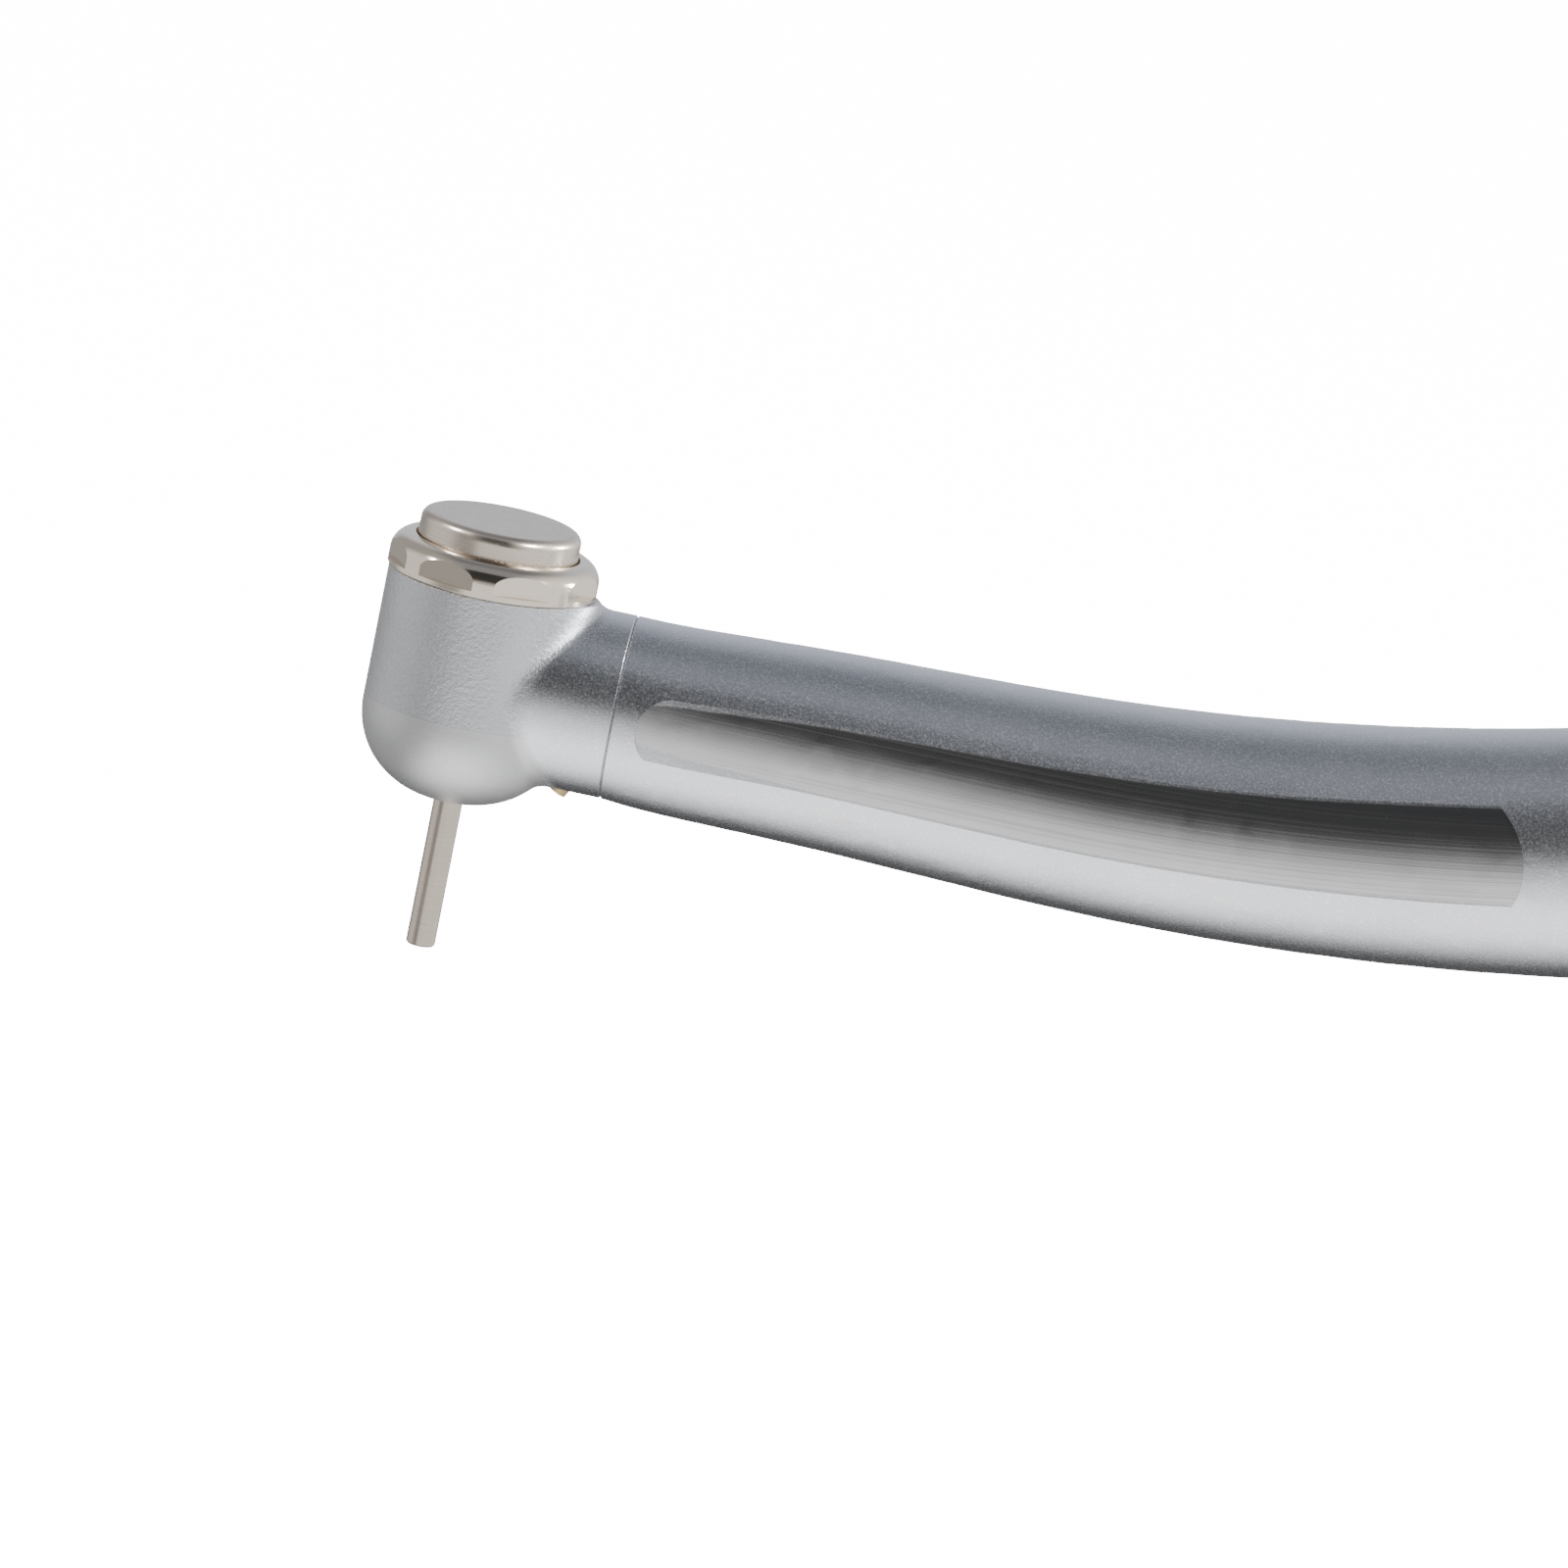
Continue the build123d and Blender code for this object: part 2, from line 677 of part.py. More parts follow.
with BuildPart() as handle_shell:
    for run in even_runs(neck_length, loft_end):
        with BuildSketch(station(run)):
            Circle(handle_radius(run))
    loft()
    with BuildSketch(station(loft_end)):
        Circle(grip_r)
    extrude(amount=shell_end - tail_start)
    chamfer(handle_shell.edges().group_by(Axis.X)[-1], handle_end_chamfer)
    chamfer(handle_shell.edges().group_by(Axis.X)[0], seam_chamfer)
    for side in (-1, 1):
        add(facet_cutter(side).part, mode=Mode.SUBTRACT)
    # Rings and flutes of the grip
    with BuildSketch(tail_side):
        for k in range(ring_count):
            with Locations((k * ring_pitch - rings_from_end, grip_r + ring_r - ring_depth)):
                Circle(ring_r)
    revolve(axis=tail_axis, mode=Mode.SUBTRACT)
    with BuildSketch(station(total_run - flute_band[0])):
        with PolarLocations(grip_r + flute_r - flute_depth, flute_count):
            Circle(flute_r)
    extrude(amount=flute_band[0] - flute_band[1], mode=Mode.SUBTRACT)
    # Inside: spigot socket, tapering cavity, bore for the connector's plug
    with BuildSketch(station(neck_length)):
        Circle(spigot_r + gap)
    extrude(amount=socket_end - neck_length, mode=Mode.SUBTRACT)
    with BuildSketch(station(total_run + tail_start)):
        Circle(grip_r - handle_wall)
    extrude(amount=plug_start - tail_start, mode=Mode.SUBTRACT)
    with BuildSketch(station(total_run + plug_start)):
        Circle(connector_plug_r + gap)
    extrude(amount=connector_plug_length, mode=Mode.SUBTRACT)

with BuildPart() as handle_cavity:
    for run in even_runs(socket_end, loft_end):
        with BuildSketch(station(run)):
            Circle(handle_radius(run) - handle_wall)
    loft()
with handle_shell:
    add(handle_cavity.part, mode=Mode.SUBTRACT)
write(handle_shell, "handle_shell")

seal_r = (spigot_seal_depth - gap) / 2
o_ring(
    "neck_o_ring",
    Plane(origin=(head_x, 0, neck_z), x_dir=(1, 0, 0), z_dir=(0, -1, 0)),
    Axis((head_x, 0, neck_z), (1, 0, 0)),
    (seal_at + spigot_seal_w / 2, spigot_r - seal_r - gap / 2),
    seal_r,
)


# ---- Rear connector: plug, flange, hose thread and four holes ----
plug_low = shell_end - connector_plug_length + gap
with BuildPart() as rear_connector:
    with BuildSketch(station(total_run + plug_low)):
        Circle(connector_plug_r)
    extrude(amount=connector_plug_length)
    with BuildSketch(station(total_run + shell_end + gap)):
        Circle(connector_flange_r)
    extrude(amount=connector_flange_t - gap)
    with BuildSketch(station(total_run - connector_thread_length)):
        Circle(connector_thread_r)
    extrude(amount=connector_thread_length)
    chamfer(rear_connector.edges().group_by(Axis.X)[-1], thread_chamfer)
    with BuildSketch(station(total_run + shell_end - connector_plug_length / 2)):
        Circle(connector_plug_r + gap)
        Circle(connector_plug_r - connector_seal_depth, mode=Mode.SUBTRACT)
    extrude(amount=connector_seal_w, mode=Mode.SUBTRACT)
    # Thread grooves
    with BuildSketch(tail_side):
        half = (thread_pitch - thread_land) / 2
        for k in range(int((connector_thread_length - 2 * thread_end_land) / thread_pitch)):
            near = -connector_thread_length + thread_end_land + k * thread_pitch
            with BuildLine():
                Polyline(
                    (near, connector_thread_r + gap),
                    (near + half, connector_thread_r - thread_depth),
                    (near + 2 * half, connector_thread_r + gap),
                    close=True,
                )
            make_face()
    revolve(axis=tail_axis, mode=Mode.SUBTRACT)
    # Passages right through, then the tube sockets in front and the hose holes behind
    with BuildSketch(station(total_run + plug_low)):
        with Locations((exhaust_side, exhaust_up)):
            Circle(exhaust_r)
        for tube in tubes:
            with Locations((tube["side"], tube["up"])):
                Circle(tube["inner"])
    extrude(amount=-plug_low, mode=Mode.SUBTRACT)
    with BuildSketch(station(total_run + plug_low)):
        for tube in tubes:
            with Locations((tube["side"], tube["up"])):
                Circle(tube["outer"] + gap)
    extrude(amount=tube_socket, mode=Mode.SUBTRACT)
    with BuildSketch(station(total_run - connector_hole_length)):
        with Locations((exhaust_side, exhaust_up)):
            Circle(exhaust_hole_r)
        for tube in tubes:
            with Locations((tube["side"], tube["up"])):
                Circle(tube["hole"])
    extrude(amount=connector_hole_length, mode=Mode.SUBTRACT)
write(rear_connector, "rear_connector")

rear_seal_r = (connector_seal_depth - gap) / 2
o_ring(
    "connector_o_ring",
    tail_side,
    tail_axis,
    (
        shell_end - connector_plug_length / 2 + connector_seal_w / 2,
        connector_plug_r - rear_seal_r - gap / 2,
    ),
    rear_seal_r,
)


# ---- Tubes that run from the neck to the connector, and the clip that holds them ----
def air_or_water_tube(name, size):
    """Thin tube that keeps beside the handle's centreline: straight, bend, straight."""
    first = neck_length + spigot_length - tube_socket + gap
    last = total_run + plug_low + tube_socket - gap
    bend_end = handle_straight + bend_run
    runs = (first, handle_straight, bend_end, last)
    spots = [station_point(run, size["side"], size["up"]) for run in runs]
    with BuildPart() as tube:
        with BuildLine() as route:
            Line(spots[0], spots[1])
            TangentArc(spots[1], spots[2], tangent=(1, 0, 0))
            Line(spots[2], spots[3])
        with BuildSketch(Plane(origin=spots[0], z_dir=(1, 0, 0))):
            Circle(size["outer"])
            Circle(size["inner"], mode=Mode.SUBTRACT)
        sweep(path=route.line)
    write(tube, name)


air_or_water_tube("drive_air_tube", drive_tube)
air_or_water_tube("water_tube", water_tube)
air_or_water_tube("chip_air_tube", chip_tube)

with BuildPart() as tube_clip:
    with BuildSketch(station(clip_at)):
        Circle(handle_radius(clip_at) - handle_wall - clip_gap)
        for tube in tubes:
            with Locations((tube["side"], tube["up"])):
                Circle(tube["outer"] + turning_gap, mode=Mode.SUBTRACT)
        with PolarLocations(clip_vent_at, clip_vent_count):
            Circle(clip_vent_r, mode=Mode.SUBTRACT)
    extrude(amount=clip_t)
write(tube_clip, "tube_clip")
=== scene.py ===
"""Looks of the high speed dental handpiece: camera, studio, materials and fine surface detail."""
import json
import math

import bpy
from mathutils import Matrix, Vector


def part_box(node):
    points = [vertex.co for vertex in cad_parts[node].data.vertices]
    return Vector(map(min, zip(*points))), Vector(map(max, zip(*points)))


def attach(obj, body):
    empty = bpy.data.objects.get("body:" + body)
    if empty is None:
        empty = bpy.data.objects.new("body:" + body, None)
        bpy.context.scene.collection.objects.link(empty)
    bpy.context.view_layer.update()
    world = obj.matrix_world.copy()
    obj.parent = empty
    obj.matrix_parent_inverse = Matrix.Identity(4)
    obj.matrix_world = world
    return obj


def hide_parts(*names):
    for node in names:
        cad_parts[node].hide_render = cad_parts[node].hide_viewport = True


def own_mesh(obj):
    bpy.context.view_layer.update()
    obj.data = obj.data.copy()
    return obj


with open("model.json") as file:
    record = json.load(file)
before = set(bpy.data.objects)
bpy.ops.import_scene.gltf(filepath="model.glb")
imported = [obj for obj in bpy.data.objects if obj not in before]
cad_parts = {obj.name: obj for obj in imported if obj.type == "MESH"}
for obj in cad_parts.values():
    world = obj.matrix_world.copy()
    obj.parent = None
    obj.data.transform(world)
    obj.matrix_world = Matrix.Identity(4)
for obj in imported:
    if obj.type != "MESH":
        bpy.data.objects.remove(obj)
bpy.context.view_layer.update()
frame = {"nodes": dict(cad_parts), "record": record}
nodes = frame["nodes"]
MM = 0.001

# ---- Places, from the frame ----
ring_low, ring_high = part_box("cap_ring")
seam = Vector(((ring_low.x + ring_high.x) / 2, 0, ring_low.z))  # on the spindle's axis, under the ring
bur_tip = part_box("test_bur")[0].z

# ---- Camera: long lens, slightly above the handpiece, rolled with it ----
CAMERA_DISTANCE = 0.48
CAMERA_LIFT = math.radians(13.0)
CAMERA_TURN = math.radians(1.5)
CAMERA_ROLL = math.radians(11.6)
LENS_MM = 205.0
SENSOR_MM = 36.0
AIM_RIGHT = 15.71 * MM
AIM_DOWN = 11.04 * MM
CLIP_NEAR = 0.01
CLIP_FAR = 50.0


def add_camera():
    """Camera looking along +Y and down, turned about its own axis."""
    forward = Vector((
        -math.sin(CAMERA_TURN) * math.cos(CAMERA_LIFT),
        math.cos(CAMERA_TURN) * math.cos(CAMERA_LIFT),
        -math.sin(CAMERA_LIFT),
    ))
    level_right = forward.cross(Vector((0, 0, 1))).normalized()
    level_up = level_right.cross(forward)
    right = level_right * math.cos(CAMERA_ROLL) + level_up * math.sin(CAMERA_ROLL)
    up = level_up * math.cos(CAMERA_ROLL) - level_right * math.sin(CAMERA_ROLL)
    aim = seam + right * AIM_RIGHT - up * AIM_DOWN
    data = bpy.data.cameras.new("camera")
    data.lens = LENS_MM
    data.sensor_width = SENSOR_MM
    data.clip_start = CLIP_NEAR
    data.clip_end = CLIP_FAR
    camera = bpy.data.objects.new("camera", data)
    turn = Matrix((right, up, -forward)).transposed()
    camera.matrix_world = Matrix.Translation(aim - forward * CAMERA_DISTANCE) @ turn.to_4x4()
    bpy.context.scene.collection.objects.link(camera)
    bpy.context.scene.camera = camera


add_camera()


# ---- Short names for shader nodes ----
class Graph:
    """Adds and links the nodes of one material or world."""

    def __init__(self, owner):
        owner.use_nodes = True
        self.tree = owner.node_tree

    def add(self, kind, settings=None, **sockets):
        """New node with its settings; sockets are given by name, as numbers or as links."""
        node = self.tree.nodes.new(kind)
        for name, value in (settings or {}).items():
            setattr(node, name, value)
        for name, value in sockets.items():
            self.set(node.inputs[name], value)
        return node

    def set(self, socket, value):
        """Links a socket to another node's output, or gives it a constant."""
        if isinstance(value, bpy.types.NodeSocket):
            self.tree.links.new(value, socket)
        else:
            socket.default_value = value

    def calc(self, operation, first, second=0.0, clamp=False):
        """Arithmetic on one or two values."""
        node = self.add("ShaderNodeMath", {"operation": operation, "use_clamp": clamp})
        for socket, value in zip(node.inputs, (first, second)):
            self.set(socket, value)
        return node.outputs[0]

    def rest(self, share):
        """What a share leaves of 1."""
        return self.calc("SUBTRACT", 1.0, share)

    def length(self, first, second):
        """Length of the vector that two values make."""
        squares = [self.calc("MULTIPLY", part, part) for part in (first, second)]
        return self.calc("SQRT", self.calc("ADD", *squares))

    def line(self, value, low, high, at_low=0.0, at_high=1.0, curve="LINEAR"):
        """Straight ramp from one value to another, held beyond its ends."""
        node = self.add("ShaderNodeMapRange", {"interpolation_type": curve}, Value=value)
        ends = {"From Min": low, "From Max": high, "To Min": at_low, "To Max": at_high}
        for name, end in ends.items():
            self.set(node.inputs[name], end)
        return node.outputs["Result"]

    def step(self, value, low, high):
        """Smooth step from 0 to 1."""
        return self.line(value, low, high, curve="SMOOTHSTEP")

    def spread(self, noise, at_low=0.0, at_high=1.0):
        """Stretches the usual values of a noise, 0.3 to 0.7, over a range."""
        return self.line(noise, 0.3, 0.7, at_low, at_high)

    def mix(self, share, first, second):
        """Mix of two values."""
        kept = self.calc("MULTIPLY", first, self.rest(share))
        return self.calc("ADD", kept, self.calc("MULTIPLY", second, share))

    def blend(self, share, first, second):
        """Mix of two colours."""
        node = self.add("ShaderNodeMix", {"data_type": "RGBA"}, Factor=share)
        colors = [socket for socket in node.inputs if socket.type == "RGBA"]
        for socket, color in zip(colors, (first, second)):
            self.set(socket, color)
        return next(socket for socket in node.outputs if socket.type == "RGBA")

    def millimetres(self):
        """The three coordinates in the frame, in millimetres."""
        place = self.add("ShaderNodeTexCoord")
        split = self.add("ShaderNodeSeparateXYZ", Vector=place.outputs["Object"])
        return [self.calc("MULTIPLY", split.outputs[axis], 1 / MM) for axis in "XYZ"]

    def noise(self, place, per_mm, detail=2.0, roughness=0.5):
        """Noise from 0 to 1; per_mm counts its cells per millimetre, along all axes or along each."""
        rates = per_mm if isinstance(per_mm, tuple) else (per_mm,) * 3
        x, y, z = [self.calc("MULTIPLY", part, rate) for part, rate in zip(place, rates)]
        cells = self.add("ShaderNodeCombineXYZ", X=x, Y=y, Z=z).outputs["Vector"]
        node = self.add("ShaderNodeTexNoise", Vector=cells, Scale=1.0, Detail=detail, Roughness=roughness)
        return node.outputs["Fac"]

    def bump(self, height, distance_mm, strength=1.0, normal=None):
        """Relief from a height; distance_mm is what a height of 1 stands for."""
        node = self.add("ShaderNodeBump", Height=height, Distance=distance_mm * MM, Strength=strength)
        if normal is not None:
            self.set(node.inputs["Normal"], normal)
        return node.outputs["Normal"]


def rgb(red, green, blue):
    """Opaque colour."""
    return (red, green, blue, 1.0)


def start(name, metallic):
    """New material, its graph and its shader."""
    material = bpy.data.materials.new(name)
    graph = Graph(material)
    shader = graph.tree.nodes["Principled BSDF"]
    shader.inputs["Metallic"].default_value = metallic
    return material, graph, shader


# ---- Studio ----
SKY_PEAK = 3.0
UPPER_TINT = (0.92, 0.97, 1.10)  # cool light from above and behind
UPPER_FROM = 30
# Brightness of the room by the angle in degrees: 0 is level in front, 90 overhead, 180 level behind
SKY = (
    (-180, 0.90), (-166, 0.25), (-152, 0.05), (-122, 0.06), (-107, 0.50), (-94, 1.35), (-80, 2.30),
    (-60, 2.75), (-45, 2.60), (-27, 1.75), (-12, 1.20), (0, 0.50), (8, 0.17), (15, 0.055), (52, 0.045),
    (62, 0.33), (85, 0.31), (100, 0.20), (118, 0.30), (135, 0.62), (150, 0.85), (180, 0.90),
)
# Sideways part of the direction where each wall starts, where it is full, and its brightness
WALLS = (
    (0.25, 0.80, 1.30),  # right
    (-0.30, -0.55, 0.42),  # shade on the left
    (-0.75, -0.95, 1.00),  # left
)


def add_world():
    """Soft room of bands that run along the handpiece, with a wall at each side."""
    world = bpy.data.worlds.new("studio")
    bpy.context.scene.world = world
    graph = Graph(world)
    place = graph.add("ShaderNodeTexCoord")
    split = graph.add("ShaderNodeSeparateXYZ", Vector=place.outputs["Generated"])
    toward = graph.calc("MULTIPLY", split.outputs["Y"], -1.0)
    angle = graph.calc("ARCTAN2", split.outputs["Z"], toward)
    sky = graph.add("ShaderNodeValToRGB", Fac=graph.line(angle, -math.pi, math.pi))
    spots = sky.color_ramp.elements
    while len(spots) < len(SKY):
        spots.new(0.5)
    for spot, (degrees, level) in zip(spots, SKY):
        spot.position = (degrees + 180) / 360
        tint = UPPER_TINT if degrees > UPPER_FROM else (1, 1, 1)
        spot.color = rgb(*[level * part / SKY_PEAK for part in tint])
    room = sky.outputs["Color"]
    for begins, full, level in WALLS:
        share = graph.step(split.outputs["X"], begins, full)
        room = graph.blend(share, room, rgb(*[level / SKY_PEAK] * 3))
    background = graph.tree.nodes["Background"]
    graph.set(background.inputs["Color"], room)
    background.inputs["Strength"].default_value = SKY_PEAK


FLOOR_DROP = 80 * MM
FLOOR_HALF = 4.0
FLOOR_WHITE = rgb(0.85, 0.85, 0.85)
FLOOR_ROUGHNESS = 0.9
FLOOR_GLOW = 15.0


def add_floor():
    """Plain white floor, well below the bur; the camera sees it, and the room's light passes it."""
    height = bur_tip - FLOOR_DROP
    corners = [(x * FLOOR_HALF, y * FLOOR_HALF, height) for x, y in ((-1, -1), (1, -1), (1, 1), (-1, 1))]
    mesh = bpy.data.meshes.new("floor")
    mesh.from_pydata(corners, [], [(0, 1, 2, 3)])
    floor = bpy.data.objects.new("floor", mesh)
    bpy.context.scene.collection.objects.link(floor)
    material, graph, shader = start("floor_white", 0.0)
    shader.inputs["Base Color"].default_value = FLOOR_WHITE
    shader.inputs["Roughness"].default_value = FLOOR_ROUGHNESS
    shader.inputs["Emission Color"].default_value = rgb(1, 1, 1)
    shader.inputs["Emission Strength"].default_value = FLOOR_GLOW
    floor.data.materials.append(material)
    floor.visible_glossy = False
    floor.visible_diffuse = False
    floor.visible_shadow = False


LAMP_DISTANCE = 0.7
LAMP_SIZE = 0.10
# Degrees round from the front, degrees up, watts
LAMPS = {"lamp_right": (60, 40, 4.5), "lamp_left": (-76, 40, 2.5), "lamp_rim": (107, 20, 4.0)}


def add_lamps():
    """Small soft boxes that make the glints on rims, seams and fillets."""
    for name, (around, above, watts) in LAMPS.items():
        around, above = math.radians(around), math.radians(above)
        level = math.cos(above)
        away = Vector((math.sin(around) * level, -math.cos(around) * level, math.sin(above)))
        data = bpy.data.lights.new(name, "AREA")
        data.shape = "SQUARE"
        data.size = LAMP_SIZE
        data.energy = watts
        lamp = bpy.data.objects.new(name, data)
        turn = away.to_track_quat("Z", "Y").to_matrix().to_4x4()
        lamp.matrix_world = Matrix.Translation(seam + away * LAMP_DISTANCE) @ turn
        lamp.visible_camera = False
        bpy.context.scene.collection.objects.link(lamp)


add_world()
add_floor()
add_lamps()

# ---- Blasted steel, shared by the neck and the handle ----
FINE = {"detail": 3.0, "roughness": 0.6}
BLUE_DARK = rgb(0.545, 0.555, 0.585)
BLUE_LIGHT = rgb(0.585, 0.595, 0.620)
BLUE_SPECK = rgb(0.90, 0.91, 0.93)
BLUE_SPECKS = (0.5, 0.72, 0.0, 0.6)  # fine noise where specks start and are full, and their shares there
BLASTED_ROUGHNESS = (0.25, 0.34)


def blasted_color(graph, fine, cloud):
    """Blue-grey of the blasted steel, with light specks."""
    blue = graph.blend(graph.spread(cloud), BLUE_DARK, BLUE_LIGHT)
    return graph.blend(graph.line(fine, *BLUE_SPECKS), blue, BLUE_SPECK)


def from_spindle(graph, x, y):
    """Distance from the spindle's axis, in millimetres."""
    return graph.length(graph.calc("SUBTRACT", x, seam.x / MM), y)


# ---- Head ----
WALL_TO_DOME = (7.10, 7.22)  # millimetres below the seam, where the wall starts to turn into the dome and has turned; the grain changes there, and a painted shade line runs along it
# how strongly the painted shade line along the wall-to-dome edge shows
SHADE_LINE_DARKNESS = 1.4
NECK_BLEND = (5.75, 6.25)  # millimetres from the spindle's axis, where the neck's gloss starts and is full
HEAD_GRAIN_PER_MM = 9.0
HEAD_PEEL_PER_MM = 4.5
HEAD_CLOUD_PER_MM = 0.35
HEAD_DARK = rgb(0.465, 0.475, 0.500)
HEAD_LIGHT = rgb(0.510, 0.520, 0.540)
HEAD_SPECK = rgb(0.70, 0.70, 0.72)
HEAD_SPECKS = (0.4, 0.7, 0.0, 0.35)
# painted light: the dome is painted a lighter grey than the wall above it
DOME_LIT_GREY = rgb(0.550, 0.555, 0.565)
# painted shade: grey of the thin dark line along the edge where the wall meets the dome
SHADE_LINE_GREY = rgb(0.36, 0.36, 0.37)
HEAD_ROUGHNESS = (0.40, 0.50)
HEAD_GRAIN_MM = 0.008
HEAD_PEEL_MM = 0.035


def head_satin():
    """Blasted head: orange-peel grain on the wall, finer grain on the dome below it, a faint painted shade
    line where they meet and painted light that makes the dome lighter; the neck is glossier.
    """
    material, graph, shader = start("head_satin", 1.0)
    place = graph.millimetres()
    x, y, z = place
    below = graph.step(z, *[seam.z / MM - drop for drop in WALL_TO_DOME])
    # Painted shade: a thin band on the edge where the wall turns into the dome
    line = graph.calc("MULTIPLY", below, graph.rest(below))
    neck = graph.step(from_spindle(graph, x, y), *NECK_BLEND)
    head = graph.rest(neck)
    fine = graph.noise(place, HEAD_GRAIN_PER_MM, **FINE)
    peel = graph.noise(place, HEAD_PEEL_PER_MM)
    cloud = graph.noise(place, HEAD_CLOUD_PER_MM)
    color = graph.blend(graph.spread(cloud), HEAD_DARK, HEAD_LIGHT)
    color = graph.blend(graph.line(fine, *HEAD_SPECKS), color, HEAD_SPECK)
    # Painted light: the dome lighter than the wall
    color = graph.blend(below, color, DOME_LIT_GREY)
    color = graph.blend(neck, color, blasted_color(graph, fine, cloud))
    # The painted shade line, kept off the neck
    painted_shade_line = graph.calc("MULTIPLY", line, graph.calc("MULTIPLY", head, SHADE_LINE_DARKNESS), clamp=True)
    graph.set(shader.inputs["Base Color"], graph.blend(painted_shade_line, color, SHADE_LINE_GREY))
    soft = graph.spread(fine, *HEAD_ROUGHNESS)
    glossy = graph.spread(fine, *BLASTED_ROUGHNESS)
    graph.set(shader.inputs["Roughness"], graph.mix(neck, soft, glossy))
    grainy = graph.calc("MULTIPLY", graph.rest(below), head)
    relief = graph.bump(peel, HEAD_PEEL_MM, grainy, graph.bump(fine, HEAD_GRAIN_MM))
    graph.set(shader.inputs["Normal"], relief)
    return material


# ---- Handle's shape, millimetres, as in the CAD ----
NECK_DROP = 5.46  # from the ring's lower face to the neck's axis
NECK_LENGTH = 8.05
NECK_R = 5.03
HANDLE_STRAIGHT = 30.2
BEND_RADIUS = 148.5
BEND_START_R = 5.70
TAPER_END = 75.0
GRIP_R = 7.25
FACET_FRONT = 9.4
FACET_REAR = 57.3

# ---- Handle's facets, as shaded, millimetres ----
FACET_MIDDLE = (0.45, 1.2)  # height of the facet's middle over the handle's line, at its front and rear
FACET_HALF = (4.0, 3.4)  # from the middle, where no facet is left and where it is still full
FACET_END = 0.4  # length over which it fades in at each end
FACET_MARGIN = (0.10, 0.02)  # depth under the round surface where it begins, at its front and farther on
MARGIN_SETTLED = 20.0
FACET_EDGE = 0.03  # further depth where it is full
CROWN_SAG = 0.018  # per millimetre, squared, away from the facet's middle

# ---- Handle's surface ----
HANDLE_GRAIN_PER_MM = 8.0
HANDLE_CLOUD_PER_MM = 0.25
HANDLE_GRAIN_MM = 0.010
FACET_SMOOTHS = 0.8  # share of the grain that the facet takes away
LINES_PER_MM = (0.02, 0.0, 8.5)  # along the handle, into the facet and across it
LINES_CONTRAST = (0.45, 0.65)  # noise where a line starts and is full
LINES_AT_FRONT = 0.25  # share of their strength at the facet's front
LINES_MM = 0.0015
GROUND_LIGHT = rgb(0.600, 0.600, 0.605)
GROUND_BROWN = rgb(0.455, 0.445, 0.440)
GROUND_ROUGHNESS = (0.16, 0.24)


def handle_place(graph, x, z):
    """Distance along the handle's line from the spindle's axis, and height over that line."""
    head_x = seam.x / MM
    neck_z = seam.z / MM - NECK_DROP
    bend_x = head_x + HANDLE_STRAIGHT
    past = graph.calc("MAXIMUM", graph.calc("SUBTRACT", x, bend_x), 0.0)
    drop = graph.calc("SUBTRACT", neck_z + BEND_RADIUS, z)
    up = graph.calc("SUBTRACT", BEND_RADIUS, graph.length(past, drop))
    turned = graph.calc("MULTIPLY", graph.calc("ARCTAN2", past, drop), BEND_RADIUS)
    level = graph.calc("SUBTRACT", graph.calc("MINIMUM", x, bend_x), head_x)
    return graph.calc("ADD", level, turned), up


def facet_share(graph, y, run, up, across):
    """1 on the facets and 0 elsewhere, by how far the surface lies under the round handle's."""
    radius = graph.line(run, NECK_LENGTH, HANDLE_STRAIGHT, NECK_R, BEND_START_R)
    widening = graph.line(run, HANDLE_STRAIGHT, TAPER_END, 0.0, GRIP_R - BEND_START_R)
    depth = graph.calc("SUBTRACT", graph.calc("ADD", radius, widening), graph.length(y, up))
    margin = graph.line(run, FACET_FRONT, MARGIN_SETTLED, *FACET_MARGIN)
    share = graph.step(graph.calc("SUBTRACT", depth, margin), 0.0, FACET_EDGE)
    limits = (
        graph.step(run, FACET_FRONT - FACET_END, FACET_FRONT),
        graph.step(run, FACET_REAR + FACET_END, FACET_REAR),
        graph.step(graph.calc("ABSOLUTE", across), *FACET_HALF),
    )
    for limit in limits:
        share = graph.calc("MULTIPLY", share, limit)
    return share


def handle_satin():
    """Satin blue-grey handle with a sparkling grain; the ground side facets carry fine lines along it."""
    material, graph, shader = start("handle_satin", 1.0)
    place = graph.millimetres()
    x, y, z = place
    run, up = handle_place(graph, x, z)
    across = graph.calc("SUBTRACT", up, graph.line(run, FACET_FRONT, FACET_REAR, *FACET_MIDDLE))
    facet = facet_share(graph, y, run, up, across)
    fine = graph.noise(place, HANDLE_GRAIN_PER_MM, **FINE)
    cloud = graph.noise(place, HANDLE_CLOUD_PER_MM)
    # The lines are darker and deeper toward the facet's rear
    lines = graph.line(graph.noise((run, y, up), LINES_PER_MM, detail=1.0), *LINES_CONTRAST)
    toward_rear = graph.line(run, FACET_FRONT, FACET_REAR, LINES_AT_FRONT)
    ground = graph.blend(graph.calc("MULTIPLY", lines, toward_rear), GROUND_LIGHT, GROUND_BROWN)
    color = graph.blend(facet, blasted_color(graph, fine, cloud), ground)
    graph.set(shader.inputs["Base Color"], color)
    satin = graph.spread(fine, *BLASTED_ROUGHNESS)
    glossy = graph.line(lines, 0.0, 1.0, *GROUND_ROUGHNESS)
    graph.set(shader.inputs["Roughness"], graph.mix(facet, satin, glossy))
    relief = graph.bump(fine, HANDLE_GRAIN_MM, graph.rest(graph.calc("MULTIPLY", facet, FACET_SMOOTHS)))
    # The facet's crown is rounder than its solid, so that it turns from dark to light across its width
    sag = graph.calc("MULTIPLY", graph.calc("MULTIPLY", across, across), -CROWN_SAG)
    relief = graph.bump(sag, 1.0, facet, relief)
    relief = graph.bump(lines, LINES_MM, graph.calc("MULTIPLY", facet, toward_rear), relief)
    graph.set(shader.inputs["Normal"], relief)
    return material


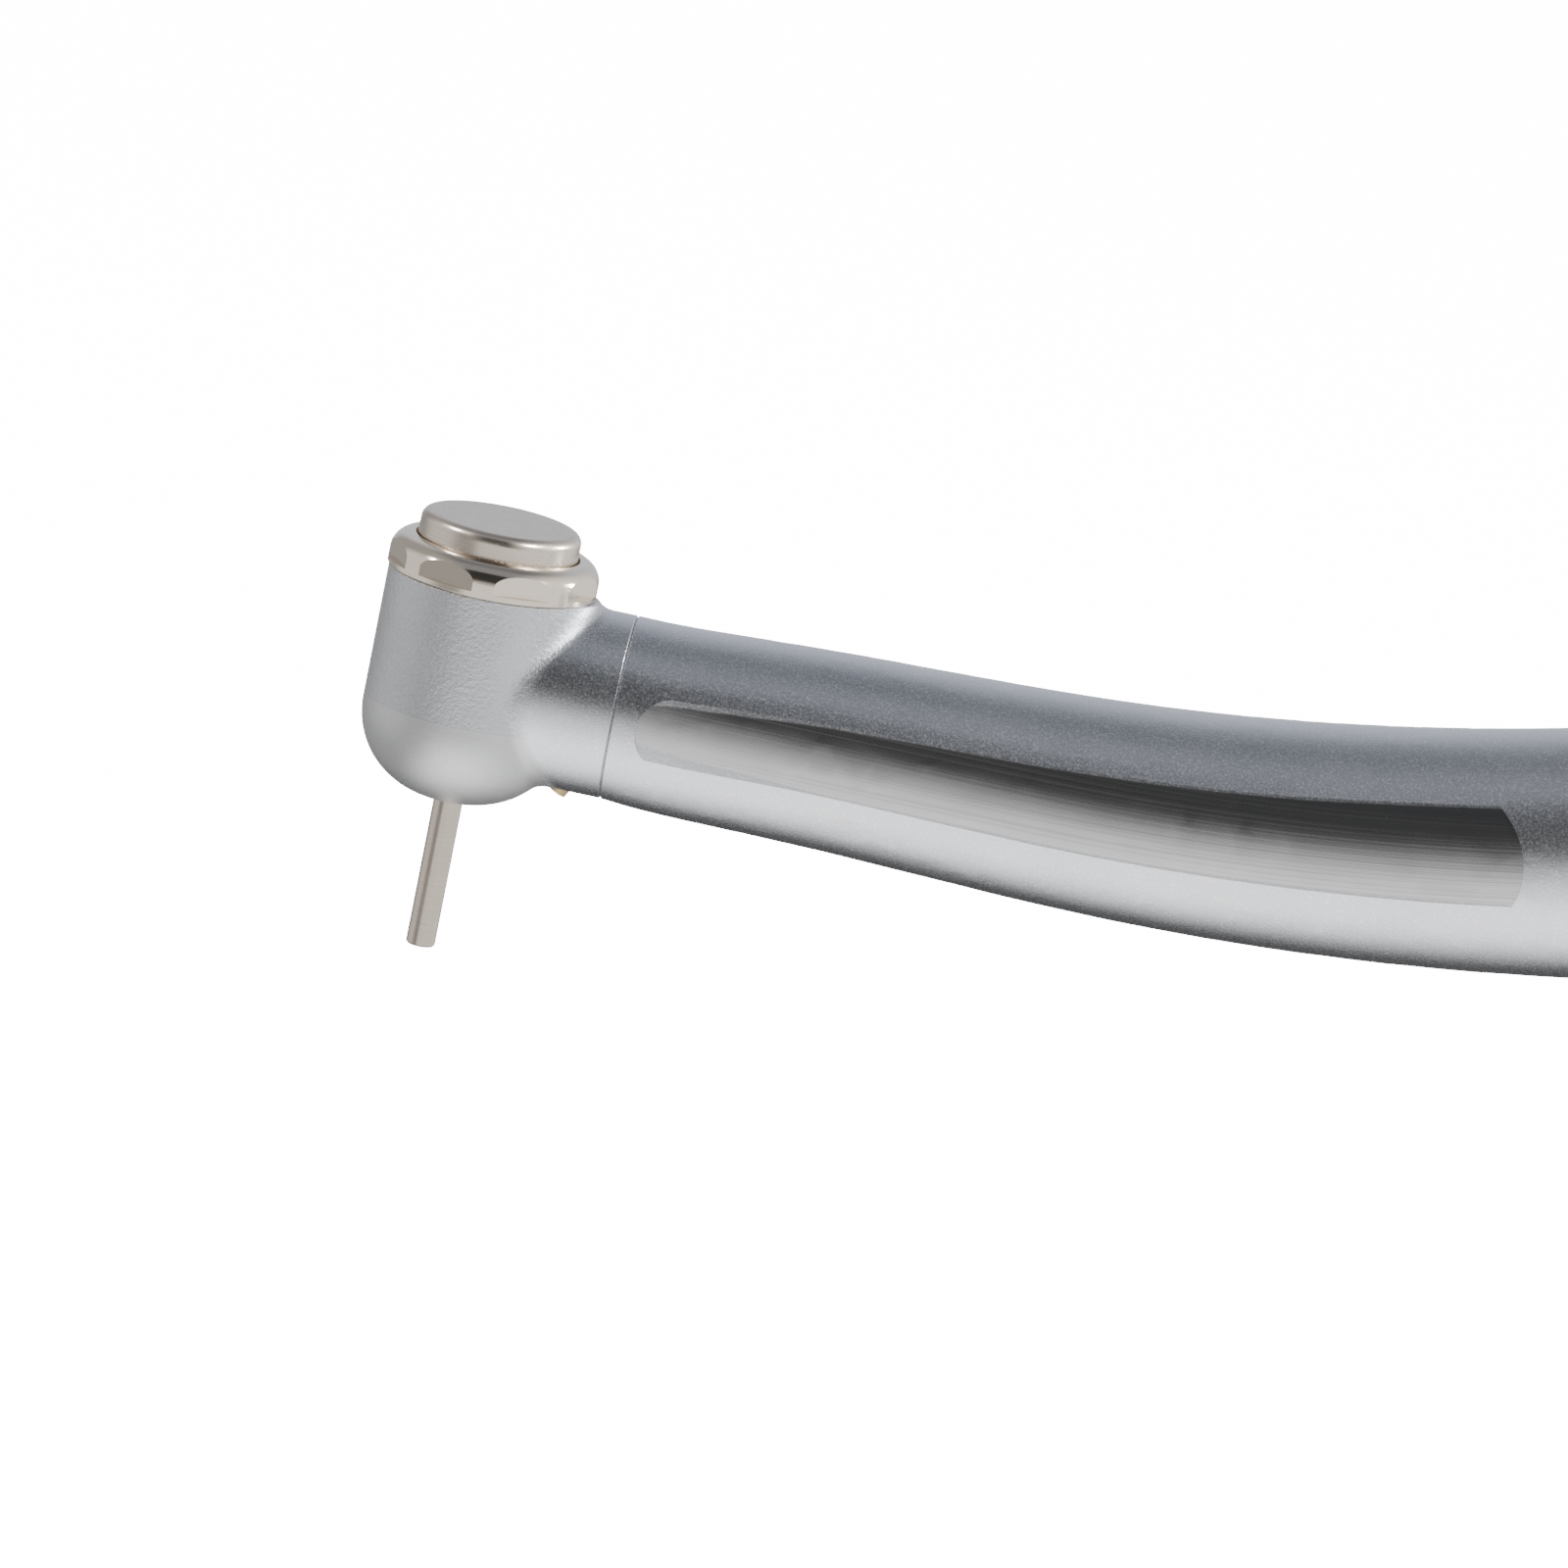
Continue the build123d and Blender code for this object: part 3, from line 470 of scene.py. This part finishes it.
# ---- Other materials ----
# Colour, metallic, roughness, grain along X, Y and Z in mm, relief in mm, spread of colour and roughness
GRAINED = {
    "spring_steel": ((0.55, 0.55, 0.56), 1.0, 0.3, (0.3, 0.3, 0.3), 0.004, 0.06),
    "ball_ceramic": ((0.09, 0.09, 0.10), 0.0, 0.12, (0.2, 0.2, 0.2), 0.001, 0.06),
    "cage_plastic": ((0.42, 0.25, 0.12), 0.0, 0.55, (0.2, 0.2, 0.2), 0.01, 0.06),
    "seal_rubber": ((0.025, 0.025, 0.025), 0.0, 0.6, (0.15, 0.15, 0.15), 0.01, 0.1),
    "impeller_aluminium": ((0.72, 0.73, 0.75), 1.0, 0.3, (0.4, 0.4, 0.08), 0.006, 0.06),
    "tube_steel": ((0.62, 0.62, 0.62), 1.0, 0.28, (2.0, 0.1, 0.1), 0.004, 0.06),
    "clip_plastic": ((0.80, 0.80, 0.77), 0.0, 0.5, (0.3, 0.3, 0.3), 0.012, 0.06),
    "connector_steel": ((0.60, 0.60, 0.61), 1.0, 0.24, (0.06, 1.5, 1.5), 0.004, 0.06),
    "nozzle_brass": ((0.50, 0.37, 0.19), 1.0, 0.25, (0.2, 0.2, 0.2), 0.003, 0.06),
}
# Colour, roughness, rings per mm, relief in mm, contrast of the rings
TURNED = {
    "cap_polished": ((0.80, 0.71, 0.60), 0.13, 5.0, 0.0012, 0.05),
    "button_brushed": ((0.68, 0.60, 0.52), 0.27, 10.0, 0.002, 0.12),
    "inner_steel": ((0.60, 0.60, 0.60), 0.25, 9.0, 0.004, 0.12),
    "bur_steel": ((0.60, 0.52, 0.45), 0.22, 6.0, 0.002, 0.08),
}
RINGS_CONTRAST = (0.35, 0.65)  # noise where a ring starts and is full
CLOUD_GRAINS = 9  # a cloud's size, in grains
SMUDGE_PER_MM = 1.0
SMUDGE_SHARE = 0.15


def grained(name, color, metallic, roughness, cell_mm, relief_mm, spread):
    """Surface with an even fine grain."""
    material, graph, shader = start(name, metallic)
    place = graph.millimetres()
    grain = graph.noise(place, tuple(1 / size for size in cell_mm))
    cloud = graph.noise(place, tuple(1 / (CLOUD_GRAINS * size) for size in cell_mm))
    dark = rgb(*[part * (1 - 2 * spread) for part in color])
    light = rgb(*[part * (1 + spread) for part in color])
    graph.set(shader.inputs["Base Color"], graph.blend(graph.spread(cloud), dark, light))
    graph.set(shader.inputs["Roughness"], graph.spread(grain, roughness - spread / 2, roughness + spread / 2))
    graph.set(shader.inputs["Normal"], graph.bump(grain, relief_mm))
    return material


def turned_metal(name, color, roughness, rings_per_mm, relief_mm, contrast):
    """Metal turned about the spindle: fine rings that run round it."""
    material, graph, shader = start(name, 1.0)
    place = graph.millimetres()
    x, y, z = place
    rings = graph.noise((from_spindle(graph, x, y), 0.0, z), rings_per_mm, **FINE)
    smudge = graph.noise(place, SMUDGE_PER_MM)
    dark = rgb(*[part * (1 - contrast) for part in color])
    smooth, dull = roughness * (1 - SMUDGE_SHARE), roughness * (1 + SMUDGE_SHARE)
    graph.set(shader.inputs["Base Color"], graph.blend(graph.line(rings, *RINGS_CONTRAST), dark, rgb(*color)))
    graph.set(shader.inputs["Roughness"], graph.spread(smudge, smooth, dull))
    graph.set(shader.inputs["Normal"], graph.bump(rings, relief_mm))
    return material


finishes = {"head_satin": head_satin(), "handle_satin": handle_satin()}
for name, values in TURNED.items():
    finishes[name] = turned_metal(name, *values)
for name, values in GRAINED.items():
    finishes[name] = grained(name, *values)
for subpart in frame["record"]["subparts"]:
    mesh = nodes[subpart["node"]].data
    mesh.materials.clear()
    mesh.materials.append(finishes[subpart["material_slot"]])


def add_spring():
    """The button's coil as a piece of its own, attached to the handpiece."""
    coil = bpy.data.objects.new("button_coil", nodes["button_spring"].data.copy())
    bpy.context.scene.collection.objects.link(coil)
    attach(coil, "handpiece")
    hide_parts("button_spring")
    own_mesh(coil)


add_spring()
